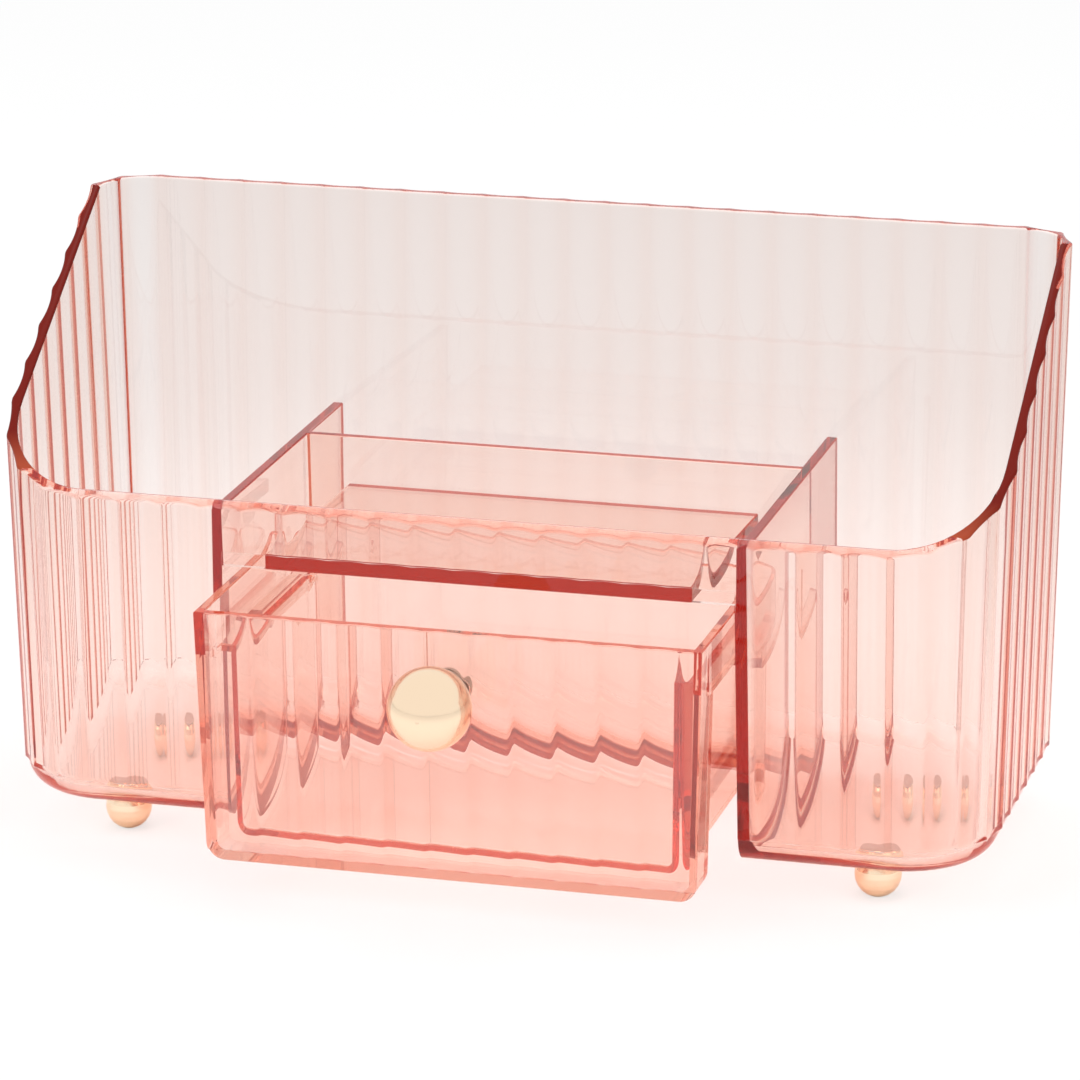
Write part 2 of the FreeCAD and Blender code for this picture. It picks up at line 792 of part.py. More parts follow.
def make_drawer():
    front = new_body("drawer_front")
    pad_back(
        front,
        "front_panel",
        drawer_levels(
            "drawer_half_width",
            "drawer_low_half_width",
            "drawer_low",
            "drawer_top",
            "drawer_front_radius",
        ),
        "drawer_stock_front",
        "drawer_front_back",
    )
    band = doc.addObject("Part::Box", "drawer_band")
    band.setExpression("Length", "2 * Sizes.opening_half_width")
    band.setExpression("Width", "Sizes.drawer_band_front + Sizes.overcut")
    band.setExpression("Height", "Sizes.drawer_front_band + Sizes.overcut")
    bind(band, "Placement.Base.x", "-opening_half_width")
    bind(band, "Placement.Base.y", "below_base")
    band.setExpression("Placement.Base.z", "Sizes.drawer_low - Sizes.overcut")
    block = cut("fluted_front", front, [band, shaped("drawer_cutter", drawer_cutter())])

    tray = new_body("drawer_tray")
    pad_back(
        tray,
        "tray_part",
        drawer_levels(
            "tray_half_width",
            "tray_low_half_width",
            "tray_bottom",
            "drawer_top",
            "drawer_tray_radius",
        ),
        "tray_front",
        "drawer_end",
    )
    end = size("drawer_end")
    top = size("drawer_top")
    round_edges(
        tray,
        "tray_end",
        "drawer_tray_radius",
        lambda edge: lies_at(edge, "Y", end) and not lies_at(edge, "Z", top),
    )

    shoulders = new_body("drawer_shoulders")
    pad_back(
        shoulders,
        "shoulder_part",
        (
            ("-drawer_half_width", "drawer_top"),
            ("-drawer_half_width", "drawer_shoulder"),
            ("drawer_half_width", "drawer_shoulder"),
            ("drawer_half_width", "drawer_top"),
        ),
        "tray_front",
        "drawer_end",
    )
    side = size("drawer_half_width")
    round_edges(
        shoulders,
        "shoulder_corners",
        "drawer_tray_radius",
        lambda edge: lies_at(edge, "Y", end) and lies_at_either(edge, "X", side),
    )

    front_hollow = new_body("front_hollow")
    pad_back(
        front_hollow,
        "front_hollow_part",
        drawer_levels(
            "hollow_half_width",
            "hollow_front_low_half_width",
            "hollow_front_low",
            "hollow_top",
            "hollow_front_radius",
        ),
        "hollow_front",
        "hollow_front_back",
    )
    inner_front = size("hollow_front")
    lean_faces(
        front_hollow,
        "front_hollow_lean",
        "wall_lean",
        lambda face: lies_at(face, "Y", inner_front),
    )

    tray_hollow = new_body("tray_hollow")
    pad_back(
        tray_hollow,
        "tray_hollow_part",
        drawer_levels(
            "hollow_tray_half_width",
            "hollow_tray_low_half_width",
            "hollow_tray_bottom",
            "hollow_top",
            "hollow_tray_radius",
        ),
        "tray_front",
        "hollow_end",
    )
    hollow_end = size("hollow_end")
    hollow_top = size("hollow_top")
    round_edges(
        tray_hollow,
        "tray_hollow_end",
        "hollow_tray_radius",
        lambda edge: lies_at(edge, "Y", hollow_end) and not lies_at(edge, "Z", hollow_top),
    )

    shoulder_hollow = new_body("shoulder_hollow")
    pad_back(
        shoulder_hollow,
        "shoulder_hollow_part",
        (
            ("-hollow_half_width", "hollow_top"),
            ("-hollow_half_width", "hollow_shoulder"),
            ("hollow_half_width", "hollow_shoulder"),
            ("hollow_half_width", "hollow_top"),
        ),
        "tray_front",
        "hollow_end",
    )
    hollow_side = size("hollow_half_width")
    round_edges(
        shoulder_hollow,
        "shoulder_hollow_corners",
        "hollow_tray_radius",
        lambda edge: lies_at(edge, "Y", hollow_end) and lies_at_either(edge, "X", hollow_side),
    )

    outside = doc.addObject("Part::MultiFuse", "drawer_outside")
    outside.Shapes = [block, tray, shoulders]
    open_top = cut("open_drawer", outside, [front_hollow, tray_hollow, shoulder_hollow])
    boss = cylinder_along_depth(
        "knob_boss", "boss_diameter", "drawer_setback", "boss_back", "knob_height"
    )
    with_boss = doc.addObject("Part::Fuse", "drawer_with_boss")
    with_boss.Base = open_top
    with_boss.Tool = boss
    hole = cylinder_along_depth(
        "screw_hole", "hole_diameter", "below_base", "drawer_front_back", "knob_height"
    )
    return cut("drawer", with_boss, [hole])


# ---------------------------------------------------------------- knob, screw and feet
def make_knob():
    """Ball with a neck that meets the drawer's boss, and a blind hole for the screw."""
    ball = doc.addObject("Part::Sphere", "knob_ball")
    bind(ball, "Radius", "knob_radius")
    ball.Placement.Rotation = BACKWARD
    bind(ball, "Placement.Base.y", "knob_centre")
    bind(ball, "Placement.Base.z", "knob_height")
    neck = cylinder_along_depth(
        "knob_neck", "neck_diameter", "knob_centre", "drawer_setback", "knob_height"
    )
    solid = doc.addObject("Part::Fuse", "knob_solid")
    solid.Base = ball
    solid.Tool = neck
    hole = cylinder_along_depth(
        "knob_hole", "hole_diameter", "knob_hole_end", "drawer_setback", "knob_height"
    )
    return cut("knob", solid, [hole])


def make_screw():
    """Screw from inside the drawer, its head flat on the back of the boss."""
    shank = cylinder_along_depth(
        "screw_shank", "screw_diameter", "screw_end", "boss_back", "knob_height"
    )
    head = cylinder_along_depth(
        "screw_head", "screw_head_diameter", "boss_back", "screw_head_back", "knob_height"
    )
    screw = doc.addObject("Part::Fuse", "knob_screw")
    screw.Base = shank
    screw.Tool = head
    return screw


def make_foot(name):
    """Turned ball with a flat where it meets its pad and one where it stands."""
    corners = [("ground", "ground")]
    for i in range(FOOT_CHORDS + 1):
        corners.append(("foot_radius_%d" % i, "foot_level_%d" % i))
    corners.append(("ground", "foot_top"))
    foot = new_body(name)
    section = outline_sketch(foot, name + "_section", "XZ_Plane", corners)
    turned = foot.newObject("PartDesign::Revolution", name + "_ball")
    turned.Profile = section
    turned.ReferenceAxis = (section, ["V_Axis"])
    return foot


def make_pad(name):
    """Disc of adhesive between a foot and the casing."""
    pad = doc.addObject("Part::Cylinder", name)
    pad.setExpression("Radius", "Sizes.foot_pad_diameter / 2")
    bind(pad, "Height", "foot_pad_thickness")
    return pad


# ---------------------------------------------------------------- the whole holder

def place(item, label, across, along, up):
    """Label a finished piece and bind its placement to named sizes, or leave it at zero."""
    item.Label = label
    for letter, name in (("x", across), ("y", along), ("z", up)):
        if name:
            bind(item, "Placement.Base." + letter, name)


def build():
    pieces = []

    casing = make_casing()
    place(casing, "casing", None, "frame_shift", "base_height")
    pieces.append(casing)

    for make, label in ((make_drawer, "drawer"), (make_knob, "knob"), (make_screw, "knob_screw")):
        piece = make()
        place(piece, label, None, "drawer_shift", "base_height")
        pieces.append(piece)

    for row, along in (("front", "foot_front_y"), ("rear", "foot_rear_y")):
        for hand, across in (("left", "foot_left"), ("right", "foot_right")):
            foot = make_foot("foot_%s_%s" % (row, hand))
            place(foot, "foot_%s_%s" % (row, hand), across, along, None)
            pad = make_pad("pad_%s_%s" % (row, hand))
            place(pad, "foot_pad_%s_%s" % (row, hand), across, along, "foot_top")
            pieces += [foot, pad]
    return pieces


def check(pieces):
    """Stop if any object failed or any piece isn't one valid solid."""
    for item in doc.Objects:
        if "Invalid" in item.State or "Error" in item.State:
            raise RuntimeError("%s failed: %s" % (item.Label, item.State))
    for piece in pieces:
        shape = piece.Shape
        if shape.isNull() or not shape.isValid() or len(shape.Solids) != 1:
            raise RuntimeError("%s is not one valid solid" % piece.Label)


fill_sheet()
pieces = build()
doc.recompute()
check(pieces)
os.makedirs("parts", exist_ok=True)
for piece in pieces:
    piece.Shape.exportStep("parts/%s.step" % piece.Label)
    box = piece.Shape.BoundBox
    print(
        "%-22s volume %9.1f  x %7.2f %7.2f  y %7.2f %7.2f  z %7.2f %7.2f"
        % (
            piece.Label,
            piece.Shape.Volume,
            box.XMin,
            box.XMax,
            box.YMin,
            box.YMax,
            box.ZMin,
            box.ZMax,
        )
    )
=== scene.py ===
import math

import bmesh
import bpy
import numpy as np
from mathutils import Matrix, Vector


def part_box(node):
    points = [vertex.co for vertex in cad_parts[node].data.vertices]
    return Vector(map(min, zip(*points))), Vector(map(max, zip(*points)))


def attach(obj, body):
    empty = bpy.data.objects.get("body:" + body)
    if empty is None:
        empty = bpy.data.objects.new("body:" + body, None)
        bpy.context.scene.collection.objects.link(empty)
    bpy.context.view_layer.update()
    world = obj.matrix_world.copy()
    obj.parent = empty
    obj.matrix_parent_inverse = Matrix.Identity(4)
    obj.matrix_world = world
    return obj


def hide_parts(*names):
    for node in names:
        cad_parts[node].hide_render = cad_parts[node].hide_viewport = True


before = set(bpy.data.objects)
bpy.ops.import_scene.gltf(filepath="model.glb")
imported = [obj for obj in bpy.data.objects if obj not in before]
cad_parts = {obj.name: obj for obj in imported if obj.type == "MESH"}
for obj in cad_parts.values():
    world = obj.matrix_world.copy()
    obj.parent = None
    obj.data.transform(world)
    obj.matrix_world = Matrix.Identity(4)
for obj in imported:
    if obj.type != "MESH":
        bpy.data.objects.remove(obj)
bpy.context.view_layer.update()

MM = 0.001
SCENE = bpy.context.scene

# The casing's fluted walls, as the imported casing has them. In plan, x is 0 in the middle and
# y is 0 at the casing's front. A level is a height above its underside.
HALF_WIDTH = 115.0 * MM          # to the ridges of the flutes, at the level BACK_TOP
DEPTH = 95.0 * MM
BACK_TOP = 123.4 * MM            # level of the top at the back
FRONT_CORNER = 24.5 * MM         # radii in plan
BACK_CORNER = 13.0 * MM
LEAN = 0.0215                    # how far the walls go outward for each metre upward
FLUTE_PITCH = 9.6 * MM           # about: each stretch has a whole number of flutes
FLUTE_DEPTH = 0.75 * MM
CORNER_DEPTH = 0.4 * MM          # of the flutes round the corners
RIDGE_DROP = 0.05 * MM           # how far the corners' ridges lie inside their radius
CORNERS = (                      # centre and radius of each corner of the casing
    (np.array((HALF_WIDTH - FRONT_CORNER, FRONT_CORNER)), FRONT_CORNER),
    (np.array((HALF_WIDTH - BACK_CORNER, DEPTH - BACK_CORNER)), BACK_CORNER),
    (np.array((BACK_CORNER - HALF_WIDTH, DEPTH - BACK_CORNER)), BACK_CORNER),
    (np.array((FRONT_CORNER - HALF_WIDTH, FRONT_CORNER)), FRONT_CORNER),
)

# The casing's base band.
BAND_TOP = 6.1 * MM              # level of its top, and radius of its round foot
BAND_FOOT = 0.03 * MM            # below this level its foot goes no further inward
BAND_INSET = 1.06 * MM           # how far it lies inside the line of the ridges
LEDGE = 6.15 * MM                # level above which the band's skin leaves the casing alone
FOOT_STEPS = 8                   # levels of the round foot
FOOT_START = 0.1                 # angle of the lowest, in radians from straight down

# The drawer's front, with flutes as wide as those of the casing's front.
FRONT_FLUTES = 19
FRONT_PITCH = 2 * (HALF_WIDTH - FRONT_CORNER) / FRONT_FLUTES
DRAWER_FLUTES = 15
DRAWER_SETBACK = 0.3 * MM        # of its ridges behind the casing's front, when it is shut
DRAWER_TOP = 56.4 * MM           # level at which they have that setback

# From places in plan and levels to the frame.
CASING_FRONT = -26.45 * MM
UNDERSIDE = 9.0 * MM
DRAWER_OUT = 22.4 * MM           # how far the drawer stands out at rest
CASING_MOVE = Vector((0, CASING_FRONT, UNDERSIDE))
DRAWER_MOVE = Vector((0, CASING_FRONT - DRAWER_OUT, UNDERSIDE))

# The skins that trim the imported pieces.
SKIN_DEPTH = 0.06 * MM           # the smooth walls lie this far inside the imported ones
FLUTE_STEPS = 20                 # points along a flute
RIDGE_STEPS = 1                  # steps on each side over which a ridge is rounded
BELOW_ALL = -5 * MM
ABOVE_ALL = 130 * MM
MIDDLE = np.array((0, DEPTH / 2))
WIDE = 1.2                       # how many times as large a skin is where it trims nothing

# The upper edges. Those of tops that slope or lie high, such as the casing's rim, are rounder.
MERGE_DISTANCE = 0.001 * MM
FLAT_ANGLE = math.radians(0.5)   # faces that meet at less than this are joined
EDGE_ANGLE = math.radians(42)    # an edge that turns more than this is sharp
UPWARD = 0.8                     # a face whose normal rises more than this is a top
SLOPING = 0.95                   # a top whose normal rises less than this slopes
RIM_LEVEL = 125.0 * MM           # height in the frame above which all tops are rim
RIM_ROUNDING = 0.6 * MM
SMALL_ROUNDING = 0.35 * MM
ROUND_SEGMENTS = 3
SHORT_EDGE = 0.35 * MM           # shorter edges of the rim are merged before it is rounded

# The glue between each foot and the underside.
GLUE_RADIUS = 4.4 * MM
GLUE_GAP = 0.04 * MM             # above and below a drop
GLUE_POWER = 0.4                 # the smaller, the blunter its side
GLUE_WAVES = ((3, 1, 0.05), (5, 2, 0.04))    # count round the drop, start, share of radius
GLUE_RINGS = 12
GLUE_POINTS = 48                 # in a ring

# Colours are linear red, green and blue, and 1 for full cover.
WHITE = (1, 1, 1, 1)
PLASTIC_IOR = 1.58
PASSING = (0.98, 0.95, 0.94, 1)  # share of the light that goes straight through a surface
CASING_DEPTH_COLOUR = (0.87, 0.27, 0.035, 1)
CASING_DENSITY = 85
CASING_LATE_RAY = 11
DRAWER_DEPTH_COLOUR = (0.894, 0.27, 0.035, 1)
DRAWER_DENSITY = 68
DRAWER_LATE_RAY = 6
# Painted shade on the rim: an opaque colour, orange in front and dark red from RIM_SIDE back, in
# place of the darkening the clear plastic gets along its walls.
RIM_SHADE_ORANGE = (0.4, 0.07, 0.03, 1)
RIM_SHADE_RED = (0.17, 0.009, 0.004, 1)
RIM_FRONT = -19.0 * MM           # y in the frame where the deep rim begins, in orange ...
RIM_SIDE = -10.0 * MM            # ... and behind which it is dark red
RIM_ROUGHNESS = 0.25
RIM_SHINE = 0.1
GOLD_COLOUR = (0.955, 0.75, 0.545, 1)
GOLD_ROUGHNESS = 0.14
STEEL_COLOUR = (0.6, 0.58, 0.55, 1)
STEEL_ROUGHNESS = 0.35
GLUE_COLOUR = (0.62, 0.5, 0.45, 1)

CAMERA_PLACE = (0.31872, -1.11321, 0.42915)
CAMERA_AZIMUTH = math.radians(15.602)
CAMERA_ELEVATION = math.radians(17.166)
CAMERA_ROLL = math.radians(-0.351)
CAMERA_LENS = 183.754            # in millimetres, like the width of the sensor
CAMERA_SENSOR = 36
CAMERA_RANGE = (0.1, 20)         # distances between which it sees

LAMP_TARGET = Vector((0, 0, 0.06))
LAMPS = (                        # name, place, width and height, and power in watts
    ("key_lamp", (-0.9, -0.9, 1.3), (0.8, 0.8), 8.5),
    ("right_lamp", (1.2, -0.5, 1.0), (0.6, 1.0), 5),
    ("top_lamp", (0, 0.3, 1.6), (1.2, 0.8), 6),
)
FILL_LIGHT = 0.7                 # strength of the surroundings on dull surfaces; 1 where seen
FLOOR_HALF_WIDTH = 3.0
# The paper is painted darker away from the object: painted shade that only rays through the
# plastic and in mirrors meet.
FLOOR_SHADE_NEAR = (0.12, 0.97)        # distance from the middle and brightness of the paper there
FLOOR_SHADE_FAR = (0.42, 0.80)
FLOOR_LIT = (0.98, 0.98, 0.98, 1)
FLOOR_GLOW = 0.65                # share of plain white in what the camera sees of the floor
MOST_BOUNCES = 48                # in all, and through clear plastic
MOST_OTHER_BOUNCES = 24          # in mirrors, and of rays that go straight on


# ---------------------------------------------------------------- nodes

def larger(nodes, links, first, second):
    """Output of a new node that gives the larger of two values."""
    node = nodes.new("ShaderNodeMath")
    node.operation = "MAXIMUM"
    links.new(first, node.inputs[0])
    links.new(second, node.inputs[1])
    return node.outputs[0]


def mixed(nodes, links, factor, first, second):
    """Output of a new node that mixes two shaders, the second one by the factor."""
    mix = nodes.new("ShaderNodeMixShader")
    links.new(factor, mix.inputs["Fac"])
    links.new(first.outputs[0], mix.inputs[1])
    links.new(second.outputs[0], mix.inputs[2])
    return mix.outputs[0]


def new_material(name):
    """New material with the nodes and the links of its tree."""
    material = bpy.data.materials.new(name)
    material.use_nodes = True
    return material, material.node_tree.nodes, material.node_tree.links


# ---------------------------------------------------------------- camera, lights, floor

def place_camera():
    """Camera that looks from the front right and above, with a long lens."""
    back = Vector(
        (
            math.sin(CAMERA_AZIMUTH) * math.cos(CAMERA_ELEVATION),
            -math.cos(CAMERA_AZIMUTH) * math.cos(CAMERA_ELEVATION),
            math.sin(CAMERA_ELEVATION),
        )
    )
    right = Vector((math.cos(CAMERA_AZIMUTH), math.sin(CAMERA_AZIMUTH), 0))
    up = back.cross(right)
    across = right * math.cos(CAMERA_ROLL) + up * math.sin(CAMERA_ROLL)
    upward = up * math.cos(CAMERA_ROLL) - right * math.sin(CAMERA_ROLL)
    turn = Matrix((across, upward, back)).transposed().to_4x4()
    data = bpy.data.cameras.new("camera")
    data.sensor_width = CAMERA_SENSOR
    data.lens = CAMERA_LENS
    data.clip_start, data.clip_end = CAMERA_RANGE
    camera = bpy.data.objects.new("camera", data)
    camera.matrix_world = Matrix.Translation(CAMERA_PLACE) @ turn
    SCENE.collection.objects.link(camera)
    SCENE.camera = camera


def place_lamp(name, place, size, power):
    """Soft lamp that points at the object and does not show in mirrors."""
    data = bpy.data.lights.new(name, "AREA")
    data.shape = "RECTANGLE"
    data.size, data.size_y = size
    data.energy = power
    lamp = bpy.data.objects.new(name, data)
    lamp.location = place
    lamp.visible_glossy = False
    aim = LAMP_TARGET - Vector(place)
    lamp.rotation_euler = aim.to_track_quat("-Z", "Y").to_euler()
    SCENE.collection.objects.link(lamp)


def light_world():
    """White surroundings: full white to the camera, in mirrors and through clear plastic."""
    world = bpy.data.worlds.new("surroundings")
    SCENE.world = world
    world.use_nodes = True
    nodes = world.node_tree.nodes
    links = world.node_tree.links
    nodes.clear()
    out = nodes.new("ShaderNodeOutputWorld")
    seen = nodes.new("ShaderNodeBackground")
    seen.inputs["Color"].default_value = WHITE
    seen.inputs["Strength"].default_value = 1.0
    fill = nodes.new("ShaderNodeBackground")
    fill.inputs["Color"].default_value = WHITE
    fill.inputs["Strength"].default_value = FILL_LIGHT
    rays = nodes.new("ShaderNodeLightPath").outputs
    sharp = larger(nodes, links, rays["Is Camera Ray"], rays["Is Glossy Ray"])
    clear = larger(nodes, links, sharp, rays["Is Transmission Ray"])
    links.new(mixed(nodes, links, clear, fill, seen), out.inputs["Surface"])


def lay_floor():
    """Flat square floor at the feet."""
    edge = FLOOR_HALF_WIDTH
    corners = [(-edge, -edge, 0), (edge, -edge, 0), (edge, edge, 0), (-edge, edge, 0)]
    mesh = bpy.data.meshes.new("floor")
    mesh.from_pydata(corners, [], [(0, 1, 2, 3)])
    mesh.materials.append(floor_paper())
    floor = bpy.data.objects.new("floor", mesh)
    SCENE.collection.objects.link(floor)


# ---------------------------------------------------------------- materials

def floor_paper():
    """White paper: near white where seen directly, with a faint shadow.

    Through the plastic and in mirrors it is paper painted greyer away from the object, as painted
    shade for the light that falls off there.
    """
    material, nodes, links = new_material("white_floor")
    nodes.clear()
    out = nodes.new("ShaderNodeOutputMaterial")

    place = nodes.new("ShaderNodeTexCoord")
    distance = nodes.new("ShaderNodeVectorMath")
    distance.operation = "LENGTH"
    painted_falloff = nodes.new("ShaderNodeMapRange")
    painted_falloff.interpolation_type = "SMOOTHSTEP"
    painted_falloff.inputs["From Min"].default_value, painted_falloff.inputs["To Min"].default_value = FLOOR_SHADE_NEAR
    painted_falloff.inputs["From Max"].default_value, painted_falloff.inputs["To Max"].default_value = FLOOR_SHADE_FAR
    paper = nodes.new("ShaderNodeBsdfDiffuse")
    links.new(place.outputs["Object"], distance.inputs[0])
    links.new(distance.outputs["Value"], painted_falloff.inputs["Value"])
    links.new(painted_falloff.outputs["Result"], paper.inputs["Color"])

    lit = nodes.new("ShaderNodeBsdfDiffuse")
    lit.inputs["Color"].default_value = FLOOR_LIT
    white = nodes.new("ShaderNodeEmission")
    white.inputs["Color"].default_value = WHITE
    white.inputs["Strength"].default_value = 1.0
    seen = nodes.new("ShaderNodeMixShader")
    seen.inputs["Fac"].default_value = FLOOR_GLOW
    links.new(lit.outputs[0], seen.inputs[1])
    links.new(white.outputs[0], seen.inputs[2])

    rays = nodes.new("ShaderNodeLightPath").outputs
    links.new(mixed(nodes, links, rays["Is Camera Ray"], paper, seen), out.inputs["Surface"])
    return material


def clear_plastic(name, depth_colour, density, late_ray):
    """Clear moulded plastic tinted in its depth, so thick and edge-on parts are redder.

    Light from lamps goes straight through it, so what stands behind it is lit. So does a ray
    that has met more than late_ray surfaces, because it would only be lost in the walls.
    """
    material, nodes, links = new_material(name)
    out = nodes["Material Output"]
    clear = nodes["Principled BSDF"]
    clear.inputs["Base Color"].default_value = WHITE
    clear.inputs["Roughness"].default_value = 0.0
    clear.inputs["IOR"].default_value = PLASTIC_IOR
    clear.inputs["Transmission Weight"].default_value = 1.0
    passing = nodes.new("ShaderNodeBsdfTransparent")
    passing.inputs["Color"].default_value = PASSING
    rays = nodes.new("ShaderNodeLightPath").outputs
    late = nodes.new("ShaderNodeMath")
    late.operation = "GREATER_THAN"
    late.inputs[1].default_value = late_ray
    links.new(rays["Ray Depth"], late.inputs[0])
    straight = larger(nodes, links, late.outputs[0], rays["Is Shadow Ray"])
    links.new(mixed(nodes, links, straight, clear, passing), out.inputs["Surface"])
    depth = nodes.new("ShaderNodeVolumeAbsorption")
    depth.inputs["Color"].default_value = depth_colour
    depth.inputs["Density"].default_value = density
    links.new(depth.outputs[0], out.inputs["Volume"])
    return material


def painted_rim_shade():
    """Painted shade for the rim: opaque, in the colour the plastic shows seen along its walls,
    orange in front, dark red behind.
    """
    material, nodes, links = new_material("rim_painted_shade")
    shader = nodes["Principled BSDF"]
    shader.inputs["Roughness"].default_value = RIM_ROUGHNESS
    shader.inputs["Specular IOR Level"].default_value = RIM_SHINE
    place = nodes.new("ShaderNodeTexCoord")
    split = nodes.new("ShaderNodeSeparateXYZ")
    behind = nodes.new("ShaderNodeMapRange")
    behind.inputs["From Min"].default_value = RIM_FRONT
    behind.inputs["From Max"].default_value = RIM_SIDE
    rim_shade_colour = nodes.new("ShaderNodeMix")
    rim_shade_colour.data_type = "RGBA"
    rim_shade_colour.inputs["A"].default_value = RIM_SHADE_ORANGE
    rim_shade_colour.inputs["B"].default_value = RIM_SHADE_RED
    links.new(place.outputs["Object"], split.inputs[0])
    links.new(split.outputs["Y"], behind.inputs["Value"])
    links.new(behind.outputs["Result"], rim_shade_colour.inputs["Factor"])
    links.new(rim_shade_colour.outputs["Result"], shader.inputs["Base Color"])
    return material


def metal(name, colour, roughness):
    """Polished or turned metal of one colour."""
    material, nodes, _ = new_material(name)
    shader = nodes["Principled BSDF"]
    shader.inputs["Base Color"].default_value = colour
    shader.inputs["Metallic"].default_value = 1.0
    shader.inputs["Roughness"].default_value = roughness
    return material


def cured_glue():
    """Dull brownish glue."""
    material, nodes, _ = new_material("cured_glue")
    nodes["Principled BSDF"].inputs["Base Color"].default_value = GLUE_COLOUR
    return material


# ---------------------------------------------------------------- skins of the plastic pieces

def evenly(count):
    """Shares from 0 up to 1, FLUTE_STEPS of them for each of count flutes, without the 1."""
    return np.arange(count * FLUTE_STEPS) / (count * FLUTE_STEPS)


def across_flute(share, count):
    """Where each share lies across its own one of count flutes, from -1/2 to 1/2."""
    return share * count % 1 - 0.5


def directions(angle):
    """Unit vectors in plan at the angles."""
    return np.stack((np.cos(angle), np.sin(angle)), axis=-1)


def straight_flutes(start, end, outward, count, levels):
    """Outline of a straight row of flutes, one row of points for each level.

    A point goes evenly from start to end and lies inside that line by the depth of the flute's
    arc there and by SKIN_DEPTH. The arc has its chord c = the pitch, its depth d = FLUTE_DEPTH
    and its radius r = (c^2 / 4 + d^2) / 2d, so at x from its middle it is sqrt(r^2 - x^2) - r + d
    deep. The line moves outward with the height above BACK_TOP, LEAN for each metre.
    """
    share = evenly(count)
    pitch = np.linalg.norm(end - start) / count
    radius = (pitch**2 / 4 + FLUTE_DEPTH**2) / (2 * FLUTE_DEPTH)
    place = across_flute(share, count) * pitch
    dent = np.sqrt(radius**2 - place**2) - radius + FLUTE_DEPTH + SKIN_DEPTH
    line = start + (end - start) * share[:, None]
    reach = (levels - BACK_TOP)[:, None] * LEAN - dent
    return line + reach[:, :, None] * outward


def corner_flutes(centre, radius, first_angle, count, levels):
    """Outline of the flutes round a quarter-circle corner, one row of points for each level.

    In each flute's share of the turn, the distance from the corner's centre is where a ray
    meets the round cutter: c cos(a) - sqrt(r^2 - (c sin(a))^2), with the cutter's radius r,
    its axis c away from the centre, and the ray's angle a from the middle of the flute. The
    outline lies SKIN_DEPTH inside that.
    """
    share = evenly(count)
    step = math.pi / 2 / count
    half_chord = radius * math.sin(step / 2)
    cutter = (half_chord**2 + CORNER_DEPTH**2) / (2 * CORNER_DEPTH)
    axis = radius * math.cos(step / 2) - CORNER_DEPTH - RIDGE_DROP + cutter
    turn = across_flute(share, count) * step
    axes = (axis + (levels - BACK_TOP) * LEAN)[:, None]
    reach = axes * np.cos(turn) - np.sqrt(cutter**2 - (axes * np.sin(turn)) ** 2) - SKIN_DEPTH
    return centre + reach[:, :, None] * directions(first_angle + share * math.pi / 2)


def band_reach(levels):
    """How far the base band lies outside the line of the ridges at BACK_TOP, for each level.

    The line moves with LEAN, less BAND_INSET, less the rounding at the foot: a quarter circle
    with radius r = BAND_TOP, whose inset at height z is r - sqrt(r^2 - (r - z)^2).
    """
    below = BAND_TOP - np.clip(levels, BAND_FOOT, BAND_TOP)
    inset = BAND_TOP - np.sqrt(BAND_TOP**2 - below**2)
    return ((levels - BACK_TOP) * LEAN - BAND_INSET - inset)[:, None, None]


def straight_band(start, end, outward, count, levels):
    """Outline of the base band along a straight stretch, evenly from start to end."""
    return start + (end - start) * evenly(count)[:, None] + band_reach(levels) * outward


def corner_band(centre, radius, first_angle, count, levels):
    """Outline of the base band round a corner, turning evenly about the corner's centre."""
    ray = directions(first_angle + evenly(count) * math.pi / 2)
    return centre + (radius + band_reach(levels)) * ray


def round_casing(levels, straight, corner):
    """Closed outline round the casing at each level: four straight stretches and corners."""
    stretches = []
    for i, (centre, radius) in enumerate(CORNERS):
        before, before_radius = CORNERS[i - 1]
        angle = math.pi / 2 * (i - 1)
        outward = directions(angle)
        start = before + outward * before_radius
        end = centre + outward * radius
        count = round(np.linalg.norm(end - start) / FLUTE_PITCH)
        stretches.append(straight(start, end, outward, count, levels))
        count = round(radius * math.pi / 2 / FLUTE_PITCH)
        stretches.append(corner(centre, radius, angle, count, levels))
    return np.concatenate(stretches, axis=1)


def rounded_ridges(outline):
    """Outline whose every point is the mean of itself and RIDGE_STEPS points on each side."""
    shifts = range(-RIDGE_STEPS, RIDGE_STEPS + 1)
    return sum(np.roll(outline, shift, axis=1) for shift in shifts) / len(shifts)


def widened(outline):
    """The outline spread out from the casing's middle, WIDE times as large."""
    return MIDDLE + (outline - MIDDLE) * WIDE


def flute_skin():
    """Block with the casing's fluted outside above the base band, and wide below it."""
    levels = np.array((BAND_TOP, ABOVE_ALL))
    flutes = rounded_ridges(round_casing(levels, straight_flutes, corner_flutes))
    wide = widened(flutes[:1])
    outline = np.concatenate((wide, wide, flutes))
    return skin_block(outline, np.append((BELOW_ALL, BAND_TOP), levels), CASING_MOVE)


def band_skin():
    """Block with the casing's base band and its round foot, and wide above it."""
    turn = np.linspace(FOOT_START, math.pi / 2, FOOT_STEPS)
    levels = np.append(BELOW_ALL, BAND_TOP * (1 - np.cos(turn)))
    band = round_casing(levels, straight_band, corner_band)
    wide = widened(band[-1:])
    outline = np.concatenate((band, band[-1:], wide, wide))
    levels = np.append(levels, (LEDGE, LEDGE, ABOVE_ALL))
    return skin_block(outline, levels, CASING_MOVE)


